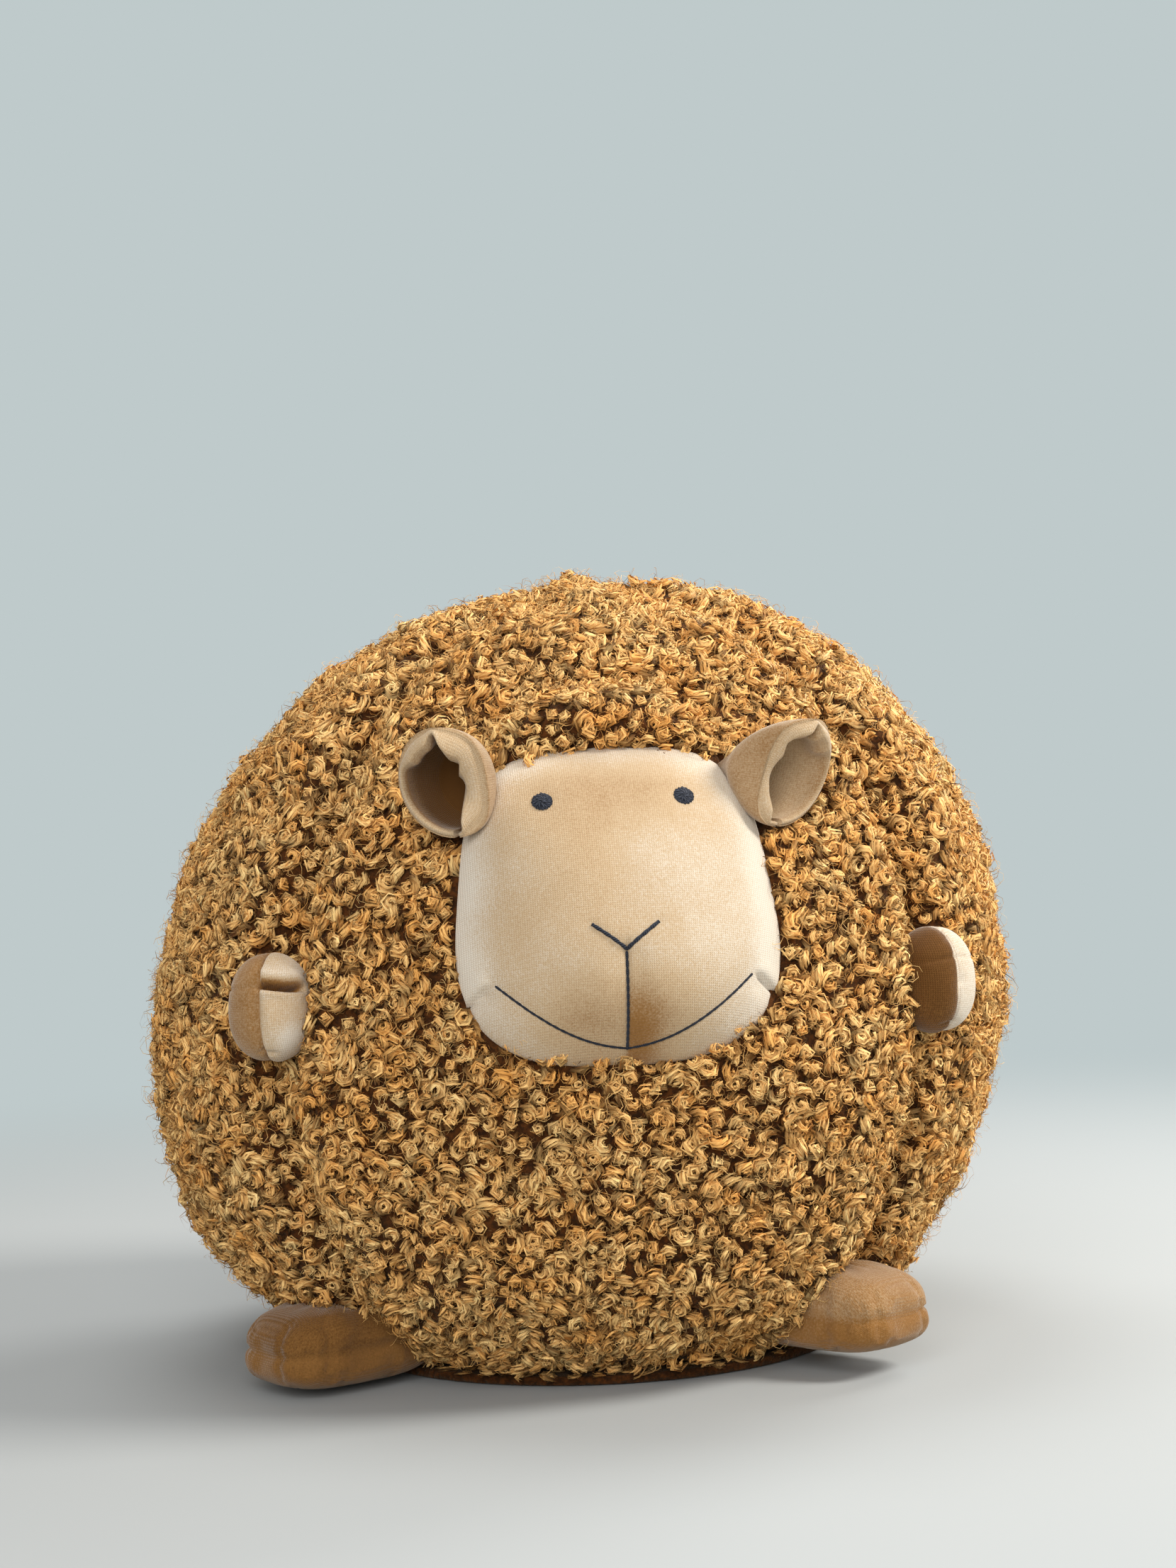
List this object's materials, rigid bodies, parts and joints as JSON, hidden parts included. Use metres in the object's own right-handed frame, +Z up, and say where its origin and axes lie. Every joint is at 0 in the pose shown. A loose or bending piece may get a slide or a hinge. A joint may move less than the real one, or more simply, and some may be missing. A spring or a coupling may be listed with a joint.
{
  "type": "sheep soft toy",
  "caption": "Round sheep soft toy: a stuffed ball of curly pile with a domed velvet face, embroidered features, cupped ears that flop, and small padded hands and feet.",
  "frame": {"origin": "centre of the flat base that the toy stands on", "axes": "+Z up, the face towards -Y, +X to the toy's own left"},
  "size_m": [0.3577, 0.364, 0.319],
  "materials": {
    "pile": "curly caramel pile",
    "velvet": "short tan velvet",
    "thread": "dark embroidery thread",
    "stuffing": "white polyester fibre"
  },
  "bodies": {
    "body": {"body_fill": "stuffing", "front_panel": "pile", "left_side_panel": "pile", "right_side_panel": "pile", "left_back_panel": "pile", "right_back_panel": "pile", "base_panel": "pile", "forehead_panel": "pile", "face_panel": "velvet", "face_fill": "stuffing", "left_eye": "thread", "right_eye": "thread", "nose_stitch": "thread", "centre_stitch": "thread", "mouth_stitch": "thread"},
    "left_ear": {"left_ear_outer": "velvet", "left_ear_lining": "velvet"},
    "right_ear": {"right_ear_outer": "velvet", "right_ear_lining": "velvet"},
    "left_hand": {"left_hand_front": "velvet", "left_hand_back": "velvet", "left_hand_fill": "stuffing"},
    "right_hand": {"right_hand_front": "velvet", "right_hand_back": "velvet", "right_hand_fill": "stuffing"},
    "left_foot": {"left_foot_upper": "velvet", "left_foot_sole": "velvet", "left_foot_fill": "stuffing"},
    "right_foot": {"right_foot_upper": "velvet", "right_foot_sole": "velvet", "right_foot_fill": "stuffing"}
  },
  "joints": [
    {"name": "left_ear_flop", "type": "hinge", "parent": "body", "child": "left_ear", "pos_m": [0.04826, -0.1344, 0.23587], "axis": [0.6428, 0.766, 0], "range_deg": [-25, 15], "stiffness_Nm_per_rad": 0.02},
    {"name": "right_ear_flop", "type": "hinge", "parent": "body", "child": "right_ear", "pos_m": [-0.04826, -0.1344, 0.23587], "axis": [0.8829, -0.4695, 0], "range_deg": [-25, 15], "stiffness_Nm_per_rad": 0.02},
    {"name": "left_hand_lift", "type": "hinge", "parent": "body", "child": "left_hand", "pos_m": [0.11829, -0.1103, 0.176], "axis": [-0.682, -0.7314, 0], "range_deg": [0, 40], "stiffness_Nm_per_rad": 0.05},
    {"name": "right_hand_lift", "type": "hinge", "parent": "body", "child": "right_hand", "pos_m": [-0.11829, -0.1103, 0.176], "axis": [-0.682, 0.7314, 0], "range_deg": [0, 40], "stiffness_Nm_per_rad": 0.05},
    {"name": "left_foot_droop", "type": "hinge", "parent": "body", "child": "left_foot", "pos_m": [0.07133, -0.07517, 0.0065], "axis": [0.7254, 0.6884, 0], "range_deg": [0, 25], "stiffness_Nm_per_rad": 0.1},
    {"name": "right_foot_droop", "type": "hinge", "parent": "body", "child": "right_foot", "pos_m": [-0.08691, -0.05644, 0.0005], "axis": [0.5446, -0.8387, 0], "range_deg": [0, 25], "stiffness_Nm_per_rad": 0.1}
  ]
}
